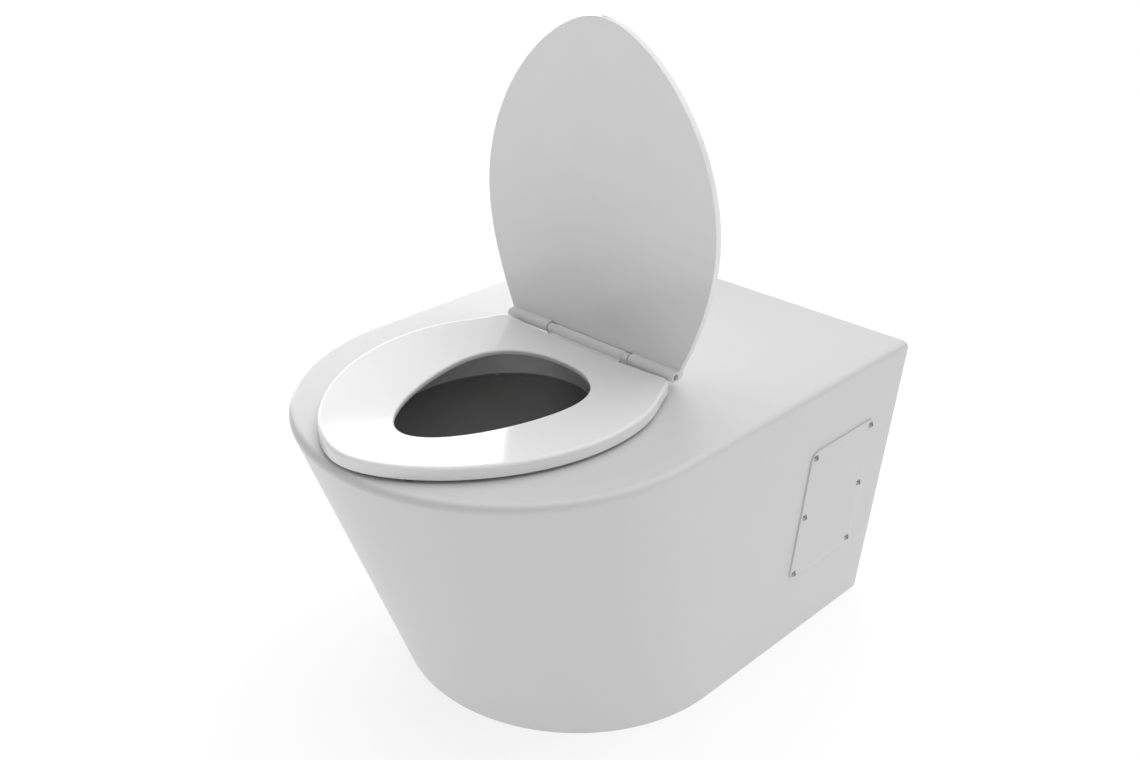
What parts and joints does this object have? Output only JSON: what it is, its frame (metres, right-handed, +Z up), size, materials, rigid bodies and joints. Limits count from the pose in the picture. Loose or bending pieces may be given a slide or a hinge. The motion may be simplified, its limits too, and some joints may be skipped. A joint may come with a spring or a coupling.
{
  "type": "bariatric toilet",
  "caption": "Wide back-to-wall toilet pan with a tapered coated-steel skirt, a moulded seat, an upright lid and screwed access panels.",
  "frame": {"origin": "middle of the footprint box, on the floor", "axes": "+Z up, -Y towards the user at the front, +Y into the wall, +X to the right as the front is looked at with the wall behind"},
  "size_m": [0.5884, 0.799, 0.906],
  "materials": {
    "coated_steel": "white powder coat, satin",
    "bowl_steel": "satin stainless steel",
    "frame_steel": "mill-finish stainless steel",
    "screw_steel": "polished stainless steel",
    "seat_plastic": "white, glossy",
    "rubber_black": "matte black",
    "rubber_grey": "matte grey",
    "nylon": "natural nylon",
    "earth_brass": "plain brass",
    "seal_foam": "closed-cell foam rubber"
  },
  "bodies": {
    "pan": {"deck": "coated_steel", "skirt": "coated_steel", "base_flange": "frame_steel", "wall_frame": "frame_steel", "earth_stud": "earth_brass", "earth_nut": "earth_brass", "rim_channel": "bowl_steel", "bowl": "bowl_steel", "bowl_brackets": "frame_steel", "flush_pipe": "frame_steel", "flush_seal": "rubber_black", "trap_bend": "frame_steel", "trap_riser": "frame_steel", "trap_tie": "frame_steel", "outlet_pipe": "frame_steel", "outlet_spigot": "frame_steel", "cleanout_ferrule": "frame_steel", "cleanout_gasket": "rubber_black", "load_frame_right": "frame_steel", "load_frame_left": "frame_steel", "panel_frame_right": "frame_steel", "panel_frame_left": "frame_steel", "rivet_nuts_right": "screw_steel", "rivet_nuts_left": "screw_steel", "panel_gasket_right": "seal_foam", "panel_gasket_left": "seal_foam", "hinge_stiffener": "frame_steel", "hinge_posts": "seat_plastic", "hinge_washers": "screw_steel", "hinge_nuts": "screw_steel", "hinge_grub_screws": "screw_steel", "hinge_rod": "screw_steel"},
    "seat": {"seat_ring": "seat_plastic", "seat_buffers": "rubber_grey", "seat_bushes": "nylon"},
    "lid": {"lid": "seat_plastic", "lid_bushes": "nylon"},
    "access_panel_right": {"access_panel_right": "coated_steel", "panel_screws_right": "screw_steel"},
    "access_panel_left": {"access_panel_left": "coated_steel", "panel_screws_left": "screw_steel"},
    "cleanout_plug": {"cleanout_plug": "frame_steel"}
  },
  "joints": [
    {"name": "seat_hinge", "type": "hinge", "parent": "pan", "child": "seat", "pos_m": [0, 0.04449, 0.46], "axis": [-1, 0, 0], "range_deg": [0, 90.3]},
    {"name": "lid_hinge", "type": "hinge", "parent": "pan", "child": "lid", "pos_m": [0, 0.04449, 0.46], "axis": [-1, 0, 0], "range_deg": [-90.3, 0]},
    {"name": "panel_slide_right", "type": "slide", "parent": "pan", "child": "access_panel_right", "axis": [0.9963, 0, -0.086], "range_m": [0, 0.06]},
    {"name": "panel_slide_left", "type": "slide", "parent": "pan", "child": "access_panel_left", "axis": [-0.9963, 0, -0.086], "range_m": [0, 0.06]},
    {"name": "cleanout_slide", "type": "slide", "parent": "pan", "child": "cleanout_plug", "axis": [1, 0, 0], "range_m": [0, 0.03]}
  ]
}
